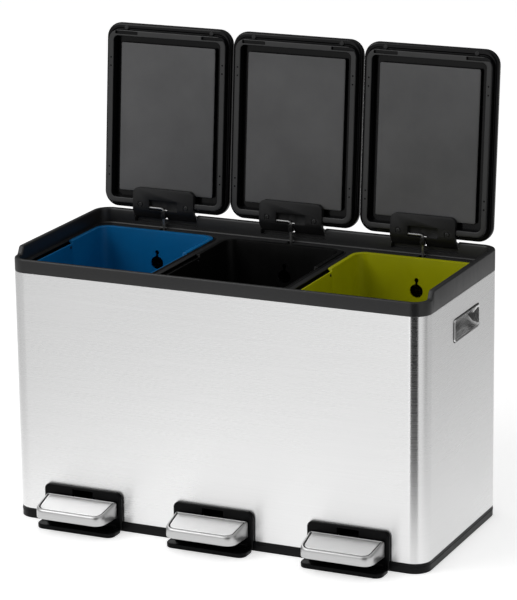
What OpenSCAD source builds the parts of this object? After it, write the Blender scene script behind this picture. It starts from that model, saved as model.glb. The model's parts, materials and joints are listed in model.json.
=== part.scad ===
// Three-bay pedal recycling bin station.
// Origin: centre of the cabinet's footprint, on the floor. +Z up, pedals towards -Y.
// The lids are drawn open, on their stops, leaning back past upright.

/* [Cabinet] */
// Width of the cabinet
body_w = 620; // [600:1:660]
// Depth of the cabinet
body_d = 280; // [276:1:300]
// Radius of the cabinet's upright corners
corner_r = 24; // [20:1:30]
// Height of the moulded base strip
base_h = 14; // [12:1:16]
// Height of the steel wrap's top edge
wrap_top = 358; // [350:1:380]
// Thickness of the steel sheet
sheet_t = 0.8; // [0.6:0.1:1.2]

/* [Top frame] */
// Height of the side and rear rim above the steel wrap
rim_h = 30; // [28:1:34]
// Height of the front rim above the steel wrap
front_rim_h = 19; // [18:1:19]
// Thickness of the side walls of the rim
rim_side_t = 8; // [7:0.5:8]
// Thickness of the rear wall of the rim
rim_end_t = 9; // [8:0.5:9]
// Thickness of the front wall of the rim
rim_front_t = 6; // [5:0.5:6]
// Height of the deck's top face above the steel wrap
deck_h = 8; // [7:0.5:8]
// Distance between the centres of neighbouring bays
bay_pitch = 201; // [200.5:0.5:201]

/* [Lids] */
// Width of one lid
lid_w = 199; // [196:0.5:199]
// Length of one lid, front to back
lid_l = 264.5; // [258:0.5:264.5]
// Corner radius of a lid
lid_r = 22; // [18:1:26]
// How far a lid swings open from closed
lid_open_deg = 95; // [92:1:100]

/* [Buckets] */
// Half width of a bucket's outside at its rim
bucket_half_w = 89; // [86:0.5:89]
// Thickness of a bucket's wall
bucket_t = 2.5; // [2:0.25:3]
// How much narrower each side is at the bottom
bucket_draft = 7; // [4:1:10]
// Diameter of the bail handle's wire
bail_wire_d = 3.5; // [3:0.25:3.5]

/* [Pedals] */
// Width of a pedal at its rear edge
pedal_w = 110; // [100:1:112]
// Depth of a pedal, front to back
pedal_d = 45; // [40:1:48]
// Swing of a pedal lever over the lid's whole travel
lever_deg = 8; // [8:0.1:8.2]

/* [Grips] */
// Length of a side grip's bezel
grip_l = 98; // [90:1:104]
// Height of a side grip's bezel
grip_h = 34; // [30:1:38]
// Distance of the grips behind the cabinet's middle
grip_y = 10; // [0:1:12]

/* [Hidden] */
$fn = 48;

eps = 0.01;
big = 1000;
running = 0.05;  // radial clearance of a pin that turns
gap = 0.3;       // clearance between pieces that move apart

left = -bay_pitch;
middle = 0;
right = bay_pitch;
bays = [left, middle, right];

half_w = body_w / 2;
half_d = body_d / 2;
rim_z = wrap_top + rim_h;
front_rim_z = wrap_top + front_rim_h;
deck_z = wrap_top + deck_h;
deck_t = 3;

// Lid hinge: its axis, and the shape of the closed lid measured from it
hinge_y = half_d - 6;
hinge_z = rim_z - 6;
hinge_pin_r = 2;
knuckle_r = 4.5;
notch_half_w = 50;
notch_floor_z = wrap_top + 14;
notch_lip_z = notch_floor_z + 5.2;
notch_lip_t = 2;
rear_sheet_half_w = 250;
pin_bite = 8;
lid_gap = 9.5;
lid_top = 8;
lid_lip_z = -3;
lid_rib_z = -10.5;
lid_web_z = 2;
lid_web_top = 4.5;
lip_w = 6.5;
rib_w = 9;
channel_w = 9;
panel_z = -5;
panel_inset = lip_w + rib_w + channel_w;
bracket_half_w = 48.5;
bracket_z = -13;
bracket_top = -5.2;
bracket_l = 41.5;
window_half_w = 22.5;
window_front = -25;
window_rear = -10;
window_floor_z = -6.4;
window_floor_rear = -11.5;
bracket_screw_x = 36.5;
bracket_screw_y = -17;
bracket_boss_r = 4.5;
bracket_screw_end = 3;

// Lift rod: where it is hooked into the bracket, measured from the hinge on a closed lid
hook_y = -13;
hook_z = -9.5;
rod_r = 1.75;
rod_hook_l = 32;
rod_slot_half_w = 5;
rest_hook_y = hinge_y + hook_y * cos(lid_open_deg) + hook_z * sin(lid_open_deg);
rest_hook_z = hinge_z - hook_y * sin(lid_open_deg) + hook_z * cos(lid_open_deg);

// Pedal levers
lever_y = -50;
lever_z = 34.5;
lever_t = 5;
lever_w = 24;
lever_pin_r = 3;
lever_boss_r = 7;
lever_rear_y = hinge_y + 2;
ear_t = 4;
ear_gap = 0.5;
foot_r = 6;
foot_h = 8;
foot_z = lever_z + lever_t / 2 + 0.5;

// Base and shelf
tray_floor = 2.5;
tray_wall = 3;
tray_lip_h = 8;
shelf_z = 52.5;
shelf_t = 2.5;
post_r = 6;
post_x = [-280, -100.5, 100.5, 280];
post_y = [-112, 112];
pad_r = 12;
pad_t = 1.5;
screw_r = 1.8;
screw_head_r = 4;

// Pedal surround and pedal
surround_half_w = 60;
surround_h = 57;
surround_t = 6;
surround_r = 9;
foot_plate_h = 7;
foot_plate_d = 36;
slot_half_w = 16;
slot_bottom = 24;
slot_top = 53.5;
pedal_gap = 3;
pedal_rear_y = -half_d - surround_t - pedal_gap;
pedal_front_y = pedal_rear_y - pedal_d;
pedal_front_w = pedal_w - 8;
pedal_r = 11;
pedal_bottom_z = 22;
pedal_front_z = 35;
pedal_rear_z = 45;
cap_t = 1.2;
lever_front_y = pedal_rear_y - 25;

// Buckets, with the bail handle folded forwards
bucket_front = -121;
bucket_rear = 104;
bucket_r = 17;
bucket_z = shelf_z + shelf_t + 0.5;
flange_z = deck_z + 0.4;
flange_t = 2;
flange_w = 4.5;
bucket_top = flange_z + flange_t;
front_edge_z = bucket_top - 4;
step_y = 8;
bail_y = 1.5;
bail_z = bucket_top - 8.4;
bail_r = bail_wire_d / 2;
bail_half_w = bucket_half_w + 0.5 + bail_r;
bail_front = bucket_front - 0.5 - bail_r;
keyhole_z = bucket_top - 47;
keyhole_r = 9.75;
keyhole_neck = 4;
keyhole_small_r = 3.25;
keyhole_small_rise = 15.5;
mouth_half_w = 91;
mouth_front_half_w = 94.5;
mouth_front = -127;
mouth_rear = 106;
mouth_r = 15;

// Side grips
grip_z = 312;
grip_r = 6;
bezel_w = 4;
bezel_t = 1.2;
cup_depth = 17;
cup_t = 1.5;

black = [0.06, 0.06, 0.065];
dark_grey = [0.25, 0.25, 0.26];
steel = [0.8, 0.8, 0.8];
blue = [0.0, 0.35, 0.62];
lime = [0.62, 0.66, 0.02];

// ---- Shared shapes ----

// A flat rectangle with round corners, centred on the origin
module round_rect(w, d, r) {
    square([w - 2 * r, d], center = true);
    square([w, d - 2 * r], center = true);
    for (x = [-1, 1], y = [-1, 1])
        translate([x * (w / 2 - r), y * (d / 2 - r)]) circle(r);
}

// An upright block with round corners, from height z0 to z1
module round_block(w, d, r, z0, z1) {
    translate([0, 0, z0]) linear_extrude(z1 - z0) round_rect(w, d, r);
}

// A flat rectangle with round corners, given by its edges
module edge_rect(x0, x1, y0, y1, r) {
    translate([(x0 + x1) / 2, (y0 + y1) / 2]) round_rect(x1 - x0, y1 - y0, r);
}

// A rod along X, from x0 to x1
module x_rod(r, x0, x1, y, z) {
    translate([x0, y, z]) rotate([0, 90, 0]) cylinder(r = r, h = x1 - x0);
}

// Extrudes a profile drawn in Y and Z along X, centred
module along_x(w) {
    translate([-w / 2, 0, 0]) rotate([90, 0, 90]) linear_extrude(w) children();
}

// Places a closed lid's piece on its hinge, in the open position
module on_open_lid(bay) {
    translate([bay, hinge_y, hinge_z]) rotate([-lid_open_deg, 0, 0]) children();
}

// A lid outline, drawn in by a given inset
module lid_outline(inset) {
    translate([0, -lid_gap - lid_l / 2])
        round_rect(lid_w - 2 * inset, lid_l - 2 * inset, max(lid_r - inset, 4));
}

// A slab with the lid's outline, from height z0 to z1
module lid_slab(inset, z0, z1) {
    translate([0, 0, z0]) linear_extrude(z1 - z0) lid_outline(inset);
}

// Points of an arc, from angle a0 to a1
function arc(c, r, a0, a1, n = 8) =
    [for (i = [0:n]) c + r * [cos(a0 + (a1 - a0) * i / n), sin(a0 + (a1 - a0) * i / n)]];

// ---- Cabinet ----

// Room of the rear sheet in the wrap's back
module rear_sheet_room() {
    translate([-rear_sheet_half_w, half_d - 5, base_h - 1])
        cube([2 * rear_sheet_half_w, 10, wrap_top - base_h + 2]);
}

// Flat sheet that closes the back of the wrap
module rear_sheet() {
    color(steel) translate([-rear_sheet_half_w, half_d - sheet_t, base_h])
        cube([2 * rear_sheet_half_w, sheet_t, wrap_top - base_h]);
}

// Sheet folded round the front and sides, with slots for the levers and windows for the grips
module steel_shell() {
    color(steel) difference() {
        round_block(body_w, body_d, corner_r, base_h, wrap_top);
        rear_sheet_room();
        round_block(body_w - 2 * sheet_t, body_d - 2 * sheet_t, corner_r - sheet_t,
                    base_h - 1, wrap_top + 1);
        for (bay = bays)
            translate([bay - slot_half_w, -half_d - 1, base_h - 1])
                cube([2 * slot_half_w, 10, slot_top - base_h + 1]);
        for (side = [-1, 1])
            translate([side * half_w, grip_y, grip_z]) rotate([0, 90, 0])
                translate([0, 0, -15]) linear_extrude(30)
                    round_rect(grip_h - bezel_w, grip_l - bezel_w, grip_r - 2);
    }
}

// Outline of a bay's mouth: wider in front, where the bail handle lies
module mouth_outline() {
    edge_rect(-mouth_front_half_w, mouth_front_half_w, mouth_front, step_y - 1, mouth_r);
    edge_rect(-mouth_half_w, mouth_half_w, mouth_front + 20, mouth_rear, mouth_r);
    translate([-mouth_front_half_w, -40]) square([2 * mouth_front_half_w, 40 + step_y - 1]);
}

// Slot for a lift rod, through the deck or the shelf
module rod_slot_outline() {
    edge_rect(-rod_slot_half_w, rod_slot_half_w, 111, 130.5, 3);
}

// Moulded rim: walls, deck with three mouths, hinge notches and rod slots
module top_frame() {
    inner_w = body_w - 2 * rim_side_t;
    inner_d = body_d - 2 * rim_end_t;
    inner_r = corner_r - rim_side_t;
    skirt_gap = sheet_t + 0.1;
    color(black) difference() {
        union() {
            round_block(body_w, body_d, corner_r, wrap_top, rim_z);
            round_block(body_w - 2 * skirt_gap, body_d - 2 * skirt_gap, corner_r - skirt_gap,
                        wrap_top - 12, wrap_top + 1);
        }
        translate([0, 0, deck_z]) linear_extrude(rim_h)
            edge_rect(-inner_w / 2, inner_w / 2, rim_front_t - half_d, half_d - rim_end_t,
                      inner_r);
        round_block(inner_w + 10, inner_d + 12, inner_r + 3, wrap_top - 13, wrap_top);
        round_block(inner_w, inner_d, inner_r, wrap_top - 1, deck_z - deck_t);
        translate([-half_w - 1, -half_d - 1, front_rim_z])
            cube([body_w + 2, corner_r + 1, rim_h]);
        for (bay = bays) translate([bay, 0, 0]) {
            translate([0, 0, wrap_top]) linear_extrude(rim_h) mouth_outline();
            translate([0, 0, wrap_top]) linear_extrude(rim_h) rod_slot_outline();
            translate([-notch_half_w, half_d - rim_end_t - 1, notch_floor_z])
                cube([2 * notch_half_w, rim_end_t + 1 - notch_lip_t, rim_h]);
            translate([-notch_half_w, half_d - notch_lip_t - 1, notch_lip_z])
                cube([2 * notch_half_w, notch_lip_t + 2, rim_h]);
            x_rod(hinge_pin_r, -notch_half_w - pin_bite, notch_half_w + pin_bite,
                  hinge_y, hinge_z);
        }
    }
}

// Moulded tray with posts for the shelf and ears for the lever pins
module base_tray() {
    inner_w = body_w - 2 * tray_wall;
    inner_d = body_d - 2 * tray_wall;
    lip_gap = sheet_t + 0.1;
    color(black) difference() {
        union() {
            difference() {
                union() {
                    round_block(body_w, body_d, corner_r, 0, base_h);
                    round_block(body_w - 2 * lip_gap, body_d - 2 * lip_gap,
                                corner_r - lip_gap, base_h - 1, base_h + tray_lip_h);
                }
                round_block(inner_w, inner_d, corner_r - tray_wall, tray_floor,
                            base_h + tray_lip_h + 1);
            }
            for (x = post_x, y = post_y)
                translate([x, y, 0]) cylinder(r = post_r, h = shelf_z);
            for (bay = bays, side = [-1, 1])
                translate([bay + side * (lever_w / 2 + ear_gap + ear_t / 2) - ear_t / 2,
                           lever_y - 9, 1])
                    cube([ear_t, 18, lever_z + 8]);
        }
        for (bay = bays)
            x_rod(lever_pin_r, bay - 20, bay + 20, lever_y, lever_z);
        for (x = [post_x[0], post_x[3]], y = post_y) {
            translate([x, y, -1]) cylinder(r = pad_r, h = 1 + pad_t);
        }
        for (x = [post_x[1], post_x[2]], y = post_y) {
            translate([x, y, -1]) cylinder(r = screw_head_r, h = 3);
            translate([x, y, -1]) cylinder(r = screw_r, h = 20);
        }
    }
}

// Floor that the buckets stand over, above the levers
module bucket_shelf() {
    inset = 2 * (sheet_t + 0.4);
    color(dark_grey) difference() {
        round_block(body_w - inset, body_d - inset, corner_r - inset / 2,
                    shelf_z, shelf_z + shelf_t);
        for (bay = bays)
            translate([bay, 0, shelf_z - 1]) linear_extrude(shelf_t + 2) rod_slot_outline();
    }
}

// Rubber pads, flush with the tray's underside
module anti_slip_pads() {
    color(dark_grey) for (x = [post_x[0], post_x[3]], y = post_y)
        translate([x, y, 0]) cylinder(r = pad_r, h = pad_t);
}

// Screws that hold the tray, their heads sunk in its underside
module base_screws() {
    color(steel) for (x = [post_x[1], post_x[2]], y = post_y) translate([x, y, 0]) {
        translate([0, 0, 0.5]) cylinder(r = screw_head_r, h = 1.5);
        translate([0, 0, 1]) cylinder(r = screw_r, h = 17);
    }
}

// Grip cup on the right side: a bezel on the sheet and a cup behind it
module grip_cup() {
    color(steel) translate([half_w, grip_y, grip_z]) rotate([0, 90, 0]) difference() {
        union() {
            linear_extrude(bezel_t) round_rect(grip_h, grip_l, grip_r);
            translate([0, 0, -cup_depth]) linear_extrude(cup_depth + eps)
                round_rect(grip_h - bezel_w - 0.2, grip_l - bezel_w - 0.2, grip_r - 2);
        }
        translate([0, 0, cup_t - cup_depth]) linear_extrude(cup_depth + 5)
            round_rect(grip_h - bezel_w - 2 * cup_t, grip_l - bezel_w - 2 * cup_t, grip_r - 3);
    }
}

// ---- Pedals ----

// Plate behind the pedal and foot plate under it, with a slot for the lever
module pedal_surround(bay) {
    color(black) translate([bay, 0, 0]) difference() {
        union() {
            translate([0, -half_d - gap, 0]) rotate([90, 0, 0]) linear_extrude(surround_t - gap) {
                edge_rect(-surround_half_w, surround_half_w, 0, surround_h, surround_r);
                translate([-surround_half_w, 0]) square([2 * surround_half_w, surround_h / 2]);
            }
            linear_extrude(foot_plate_h) {
                edge_rect(-surround_half_w, surround_half_w,
                          -half_d - foot_plate_d, -half_d - gap, surround_r + 2);
                translate([-surround_half_w, -half_d - foot_plate_d / 2])
                    square([2 * surround_half_w, foot_plate_d / 2 - gap]);
            }
        }
        translate([-slot_half_w, -half_d - surround_t - 1, slot_bottom])
            cube([2 * slot_half_w, surround_t + 2, slot_top - slot_bottom]);
    }
}

// Pin that a lever turns on
module lever_pin(bay) {
    reach = lever_w / 2 + ear_gap + ear_t;
    color(steel) x_rod(lever_pin_r, bay - reach, bay + reach, lever_y, lever_z);
}

// Steel bar from the pedal to the foot of the lift rod
module pedal_lever(bay) {
    color(dark_grey) translate([bay, 0, 0]) difference() {
        union() {
            translate([-lever_w / 2, lever_front_y, lever_z - lever_t / 2])
                cube([lever_w, lever_rear_y - lever_front_y, lever_t]);
            x_rod(lever_boss_r, -lever_w / 2, lever_w / 2, lever_y, lever_z);
        }
        x_rod(lever_pin_r + running, -lever_w, lever_w, lever_y, lever_z);
        translate([0, 0, lever_z - lever_t]) linear_extrude(2 * lever_t)
            edge_rect(-2.8, 2.8, 112.5, 131.5, 2.5);
    }
}

// Outline of a pedal from above, drawn in by a given inset
module pedal_outline(inset) {
    rear = pedal_w / 2 - inset;
    front = pedal_front_w / 2 - inset;
    y_front = pedal_front_y + inset;
    corner = pedal_r - inset;
    polygon(concat(
        [[-rear, pedal_rear_y], [-front - 1, y_front + corner + 4]],
        arc([-front + corner, y_front + corner], corner, 180, 270),
        arc([front - corner, y_front + corner], corner, 270, 360),
        [[front + 1, y_front + corner + 4], [rear, pedal_rear_y]]));
}

// Space under a pedal's sloping top, drawn down by a given amount
module pedal_wedge(bottom, down) {
    along_x(pedal_w + 2) polygon([
        [pedal_rear_y + 1, bottom],
        [pedal_front_y - 1, bottom],
        [pedal_front_y - 1, pedal_front_z - down],
        [pedal_rear_y + 1, pedal_rear_z - down]]);
}

// Pressed steel cap of a pedal
module pedal_cap(bay) {
    color(steel) translate([bay, 0, 0]) difference() {
        intersection() {
            linear_extrude(60) pedal_outline(0);
            pedal_wedge(pedal_bottom_z, 0);
        }
        intersection() {
            linear_extrude(60) union() {
                pedal_outline(cap_t);
                translate([-pedal_w / 2 + cap_t, pedal_rear_y - 1])
                    square([pedal_w - 2 * cap_t, 5]);
            }
            pedal_wedge(pedal_bottom_z - 1, cap_t);
        }
    }
}

// Moulded core that fills the cap and holds the lever's end
module pedal_core(bay) {
    color(black) translate([bay, 0, 0]) difference() {
        intersection() {
            linear_extrude(60) pedal_outline(cap_t + 0.05);
            pedal_wedge(pedal_bottom_z + 1, cap_t + 0.05);
        }
        translate([-lever_w / 2, lever_front_y, lever_z - lever_t / 2])
            cube([lever_w, big, lever_t]);
    }
}

// ---- Lids ----

// Room that the hinge bracket takes in the lid's underside
module bracket_room(clearance) {
    half = bracket_half_w + clearance;
    translate([-half, -bracket_l - clearance, -20])
        cube([2 * half, bracket_l + 10, 20 + bracket_top]);
}

// Repeats a piece at a bracket's two screws, at height z
module on_bracket_screws(z) {
    for (side = [-1, 1])
        translate([side * bracket_screw_x, bracket_screw_y, z]) children();
}

// Black frame of a lid: lip, web and the rib that stands round its underside
module lid_frame(bay) {
    color(black) on_open_lid(bay) difference() {
        union() {
            difference() {
                lid_slab(0, lid_lip_z, lid_top);
                lid_slab(lip_w, lid_lip_z - 1, lid_web_z);
                lid_slab(lip_w, lid_web_top, lid_top + 1);
            }
            difference() {
                lid_slab(lip_w - eps, lid_rib_z, lid_web_z + 1);
                lid_slab(lip_w + rib_w, lid_rib_z - 1, lid_web_z);
            }
            on_bracket_screws(bracket_top) cylinder(r = bracket_boss_r, h = 3);
        }
        bracket_room(gap);
        on_bracket_screws(bracket_top - 1)
            cylinder(r = screw_r, h = bracket_screw_end - bracket_top + 1);
    }
}

// Steel plate on a lid's outer face, folded down at its edges
module lid_cover(bay) {
    inset = lip_w + 0.2;
    color(steel) on_open_lid(bay) difference() {
        lid_slab(inset, lid_web_top, lid_top);
        lid_slab(inset + sheet_t, lid_web_top - 1, lid_top - sheet_t);
    }
}

// Flat liner on a lid's inner face
module lid_panel(bay) {
    color(dark_grey) on_open_lid(bay) difference() {
        lid_slab(panel_inset, panel_z, lid_web_z);
        lid_slab(panel_inset + 2, panel_z + 2, lid_web_z + 1);
    }
}

// Hinge bracket: a plate under the lid, a neck and a split knuckle
module hinge_bracket(bay) {
    color(black) on_open_lid(bay) difference() {
        union() {
            along_x(2 * bracket_half_w) polygon([
                [-bracket_l, bracket_z],
                [-9, bracket_z],
                [4, -2],
                [2.5, 3.7],
                [-2.5, 3.7],
                [-8, bracket_top],
                [-bracket_l, bracket_top]]);
            x_rod(knuckle_r, -bracket_half_w, bracket_half_w, 0, 0);
        }
        x_rod(hinge_pin_r + running, -big, big, 0, 0);
        translate([-window_half_w, window_front, -20])
            cube([2 * window_half_w, window_rear - window_front, 20 + window_floor_z]);
        translate([-rod_slot_half_w, window_front, -20])
            cube([2 * rod_slot_half_w, 40, 20 + window_floor_z]);
        translate([-rod_slot_half_w, window_floor_rear, -20])
            cube([2 * rod_slot_half_w, 30, 40]);
        x_rod(rod_r + running, -window_half_w - 12, -window_half_w + 1, hook_y, hook_z);
        on_bracket_screws(bracket_z - 1)
            cylinder(r = screw_r, h = bracket_top - bracket_z + 2);
    }
}

// Screws through a bracket into the lid's frame
module bracket_screws(bay) {
    head_r = 3.4;
    head_h = 1.2;
    color(dark_grey) on_open_lid(bay) on_bracket_screws(bracket_z) {
        translate([0, 0, -head_h]) cylinder(r = head_r, h = head_h);
        cylinder(r = screw_r, h = bracket_screw_end - bracket_z);
    }
}

// Soft buffers under a lid's lip, at its front corners
module lid_bumpers(bay) {
    color(dark_grey) on_open_lid(bay) for (side = [-1, 1])
        translate([side * (lid_w / 2 - 32), -lid_gap - lid_l + lip_w / 2, lid_lip_z - 1.5])
            cylinder(r = 3, h = 1.5);
}

// Two short pins in the walls of a hinge notch
module hinge_pins(bay) {
    inner = bracket_half_w - 14;
    color(steel) {
        x_rod(hinge_pin_r, bay - notch_half_w - pin_bite, bay - inner, hinge_y, hinge_z);
        x_rod(hinge_pin_r, bay + inner, bay + notch_half_w + pin_bite, hinge_y, hinge_z);
    }
}

// ---- Lift rods ----

// Wire rod: hooked into the bracket, straight down to the lever
module lift_rod(bay) {
    color(steel) {
        x_rod(rod_r, bay - rod_hook_l, bay, rest_hook_y, rest_hook_z);
        translate([bay, rest_hook_y, rest_hook_z]) sphere(rod_r);
        translate([bay, rest_hook_y, foot_z - 10])
            cylinder(r = rod_r, h = rest_hook_z - foot_z + 10);
    }
}

// Clip that keeps the rod's hook in the window
module rod_clip(bay) {
    color(black) difference() {
        translate([bay - 3.5, rest_hook_y - 3.5, rest_hook_z - 14]) cube([7, 7, 11]);
        translate([bay, rest_hook_y, rest_hook_z - 15]) cylinder(r = rod_r, h = 20);
    }
}

// Collar that stands on the lever
module rod_foot(bay) {
    color(black) translate([bay, rest_hook_y, foot_z]) difference() {
        cylinder(r = foot_r, h = foot_h);
        translate([0, 0, -1]) cylinder(r = rod_r, h = foot_h + 2);
    }
}

// ---- Buckets ----

// Outline of a bucket's wall at a given inset from its rim
module bucket_outline(inset) {
    edge_rect(-bucket_half_w + inset, bucket_half_w - inset,
              bucket_front + inset, bucket_rear - inset, bucket_r - inset / 2);
}

// Tapered body from height z0 to z1, drawn in all round by a given amount
module bucket_body(z0, z1, inset) {
    hull() {
        translate([0, 0, z0]) linear_extrude(eps)
            bucket_outline(bucket_draft + inset, $fn = 32);
        translate([0, 0, z1 - eps]) linear_extrude(eps)
            bucket_outline(inset, $fn = 32);
    }
}

// Keyhole for hanging a bag's drawstring, through the rear wall
module keyhole() {
    translate([0, bucket_rear + 5, 0]) rotate([90, 0, 0]) {
        translate([0, keyhole_z, 0]) cylinder(r = keyhole_r, h = 20);
        translate([0, keyhole_z + keyhole_small_rise, 0])
            cylinder(r = keyhole_small_r, h = 20);
        translate([-keyhole_neck / 2, keyhole_z, 0])
            cube([keyhole_neck, keyhole_small_rise, 20]);
    }
}

// Lift-out bucket: rim flange behind, lower edge in front for the bail handle
module bucket(bay, tint) {
    color(tint) translate([bay, 0, 0]) difference() {
        union() {
            bucket_body(bucket_z, bucket_top, 0);
            translate([0, 0, flange_z]) linear_extrude(flange_t) intersection() {
                edge_rect(-bucket_half_w - flange_w, bucket_half_w + flange_w,
                          bucket_front, bucket_rear + flange_w, bucket_r + 3);
                translate([-big / 2, step_y]) square([big, big]);
            }
        }
        bucket_body(bucket_z + bucket_t, bucket_top + 1, bucket_t);
        translate([-big / 2, -big + step_y, front_edge_z]) cube([big, big, 20]);
        x_rod(bail_r + running, -big / 2, big / 2, bail_y, bail_z);
        keyhole();
    }
}

// Wire bail handle, folded forwards round the bucket
module bail_handle(bay) {
    bend = 12;
    color(black) translate([bay, 0, 0]) for (side = [-1, 1]) mirror([side < 0 ? 1 : 0, 0, 0]) {
        x_rod(bail_r, bucket_half_w - bucket_t - 1.5, bail_half_w, bail_y, bail_z);
        translate([bail_half_w, bail_y, bail_z]) sphere(bail_r);
        translate([bail_half_w, bail_y, bail_z]) rotate([90, 0, 0])
            cylinder(r = bail_r, h = bail_y - bail_front - bend);
        translate([bail_half_w - bend, bail_front + bend, bail_z]) rotate([0, 0, -90])
            rotate_extrude(angle = 90) translate([bend, 0]) circle(bail_r, $fn = 24);
        x_rod(bail_r, -eps, bail_half_w - bend, bail_front, bail_z);
    }
}

// ---- The nodes ----

steel_shell();
rear_sheet();
top_frame();
base_tray();
bucket_shelf();
anti_slip_pads();
base_screws();
mirror([1, 0, 0]) grip_cup();  // grip_cup_left
grip_cup();  // grip_cup_right
pedal_surround(left);  // pedal_surround_left
pedal_surround(middle);  // pedal_surround_middle
pedal_surround(right);  // pedal_surround_right
lever_pin(left);  // lever_pin_left
lever_pin(middle);  // lever_pin_middle
lever_pin(right);  // lever_pin_right
hinge_pins(left);  // hinge_pins_left
hinge_pins(middle);  // hinge_pins_middle
hinge_pins(right);  // hinge_pins_right
lid_frame(left);  // lid_frame_left
lid_frame(middle);  // lid_frame_middle
lid_frame(right);  // lid_frame_right
lid_cover(left);  // lid_cover_left
lid_cover(middle);  // lid_cover_middle
lid_cover(right);  // lid_cover_right
lid_panel(left);  // lid_panel_left
lid_panel(middle);  // lid_panel_middle
lid_panel(right);  // lid_panel_right
hinge_bracket(left);  // hinge_bracket_left
hinge_bracket(middle);  // hinge_bracket_middle
hinge_bracket(right);  // hinge_bracket_right
bracket_screws(left);  // bracket_screws_left
bracket_screws(middle);  // bracket_screws_middle
bracket_screws(right);  // bracket_screws_right
lid_bumpers(left);  // lid_bumpers_left
lid_bumpers(middle);  // lid_bumpers_middle
lid_bumpers(right);  // lid_bumpers_right
lift_rod(left);  // lift_rod_left
lift_rod(middle);  // lift_rod_middle
lift_rod(right);  // lift_rod_right
rod_clip(left);  // rod_clip_left
rod_clip(middle);  // rod_clip_middle
rod_clip(right);  // rod_clip_right
rod_foot(left);  // rod_foot_left
rod_foot(middle);  // rod_foot_middle
rod_foot(right);  // rod_foot_right
pedal_lever(left);  // pedal_lever_left
pedal_lever(middle);  // pedal_lever_middle
pedal_lever(right);  // pedal_lever_right
pedal_cap(left);  // pedal_cap_left
pedal_cap(middle);  // pedal_cap_middle
pedal_cap(right);  // pedal_cap_right
pedal_core(left);  // pedal_core_left
pedal_core(middle);  // pedal_core_middle
pedal_core(right);  // pedal_core_right
bucket(left, blue);  // bucket_left
bucket(middle, black);  // bucket_middle
bucket(right, lime);  // bucket_right
bail_handle(left);  // bail_handle_left
bail_handle(middle);  // bail_handle_middle
bail_handle(right);  // bail_handle_right
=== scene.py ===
"""Looks of the three-bay pedal recycling bin station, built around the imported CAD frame.

Sizes are in metres. A length written as 4 * MM is in millimetres. Lids are made closed, in a
frame of their own whose origin is on the hinge, and are then swung to where the CAD holds them.
"""

import json
import math

import bmesh
import bpy
from mathutils import Matrix, Vector


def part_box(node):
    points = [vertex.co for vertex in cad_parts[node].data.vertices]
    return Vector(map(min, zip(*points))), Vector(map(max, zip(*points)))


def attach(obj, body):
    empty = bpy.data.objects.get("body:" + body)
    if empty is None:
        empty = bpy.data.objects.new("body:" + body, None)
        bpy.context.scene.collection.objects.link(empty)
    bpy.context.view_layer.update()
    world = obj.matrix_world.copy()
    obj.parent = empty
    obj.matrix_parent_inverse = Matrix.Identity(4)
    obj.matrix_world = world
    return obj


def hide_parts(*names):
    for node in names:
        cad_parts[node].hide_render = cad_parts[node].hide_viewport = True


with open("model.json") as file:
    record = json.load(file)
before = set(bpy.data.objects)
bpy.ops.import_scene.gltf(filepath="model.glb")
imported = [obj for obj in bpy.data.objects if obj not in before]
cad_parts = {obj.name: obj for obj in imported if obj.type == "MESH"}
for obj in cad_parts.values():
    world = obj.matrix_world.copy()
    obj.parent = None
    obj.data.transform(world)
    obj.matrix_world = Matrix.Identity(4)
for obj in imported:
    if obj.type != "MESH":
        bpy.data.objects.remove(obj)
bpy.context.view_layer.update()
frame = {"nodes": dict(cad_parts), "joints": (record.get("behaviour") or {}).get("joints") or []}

MM = 0.001
SIDES = ("left", "middle", "right")
JOINTS = {j["name"]: j for j in frame["joints"]}
ARC = 8
VIEW_TURN = 24.8


# ---- Places, read from the frame ----

def box_of(node, to_local=None):
    """Lowest and highest corners of a CAD node, in the row frame or in a local one."""
    points = [v.co for v in frame["nodes"][node].data.vertices]
    if to_local is not None:
        points = [to_local @ p for p in points]
    low = Vector([min(p[k] for p in points) for k in range(3)])
    high = Vector([max(p[k] for p in points) for k in range(3)])
    return low, high


def lid_place(side):
    """Carries a closed lid's local frame to the open lid in the row frame."""
    joint = JOINTS[f"lid_{side}_hinge"]
    swing = math.radians(joint["range_deg"][0])
    return Matrix.Translation(joint["pos_m"]) @ Matrix.Rotation(swing, 4, "X")


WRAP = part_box("steel_shell")
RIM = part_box("top_frame")
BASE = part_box("base_tray")
HALF_W = WRAP[1].x
HALF_D = WRAP[1].y
CORNER_R = 24 * MM
SLOT_TOP = 53.5 * MM
BAY_X = {s: JOINTS[f"lid_{s}_hinge"]["pos_m"][0] for s in SIDES}
LID_LOCAL = lid_place("middle").inverted()
LID = box_of("lid_frame_middle", LID_LOCAL)
PANEL = box_of("lid_panel_middle", LID_LOCAL)
BRACKET = box_of("hinge_bracket_middle", LID_LOCAL)
COVER = box_of("lid_cover_middle", LID_LOCAL)


# ---- Camera ----

def make_camera():
    """A long lens in front and to the right, looking down a little."""
    data = bpy.data.cameras.new("camera")
    data.lens = 183.03
    data.sensor_width = 36
    data.clip_end = 100
    camera = bpy.data.objects.new("camera", data)
    heading = Matrix.Rotation(math.radians(24.81), 4, "Z")
    tilt = Matrix.Rotation(math.radians(90 - 15.74), 4, "X")
    roll = Matrix.Rotation(math.radians(-0.70), 4, "Z")
    camera.matrix_world = Matrix.Translation((1.715, -3.697, 1.462)) @ heading @ tilt @ roll
    bpy.context.scene.collection.objects.link(camera)
    bpy.context.scene.camera = camera


make_camera()


# ---- Mesh tools ----

def link(name, mesh):
    obj = bpy.data.objects.new(name, mesh)
    bpy.context.scene.collection.objects.link(obj)
    return obj


def from_bmesh(name, bm):
    bmesh.ops.recalc_face_normals(bm, faces=bm.faces)
    mesh = bpy.data.meshes.new(name)
    bm.to_mesh(mesh)
    bm.free()
    return link(name, mesh)


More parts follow.
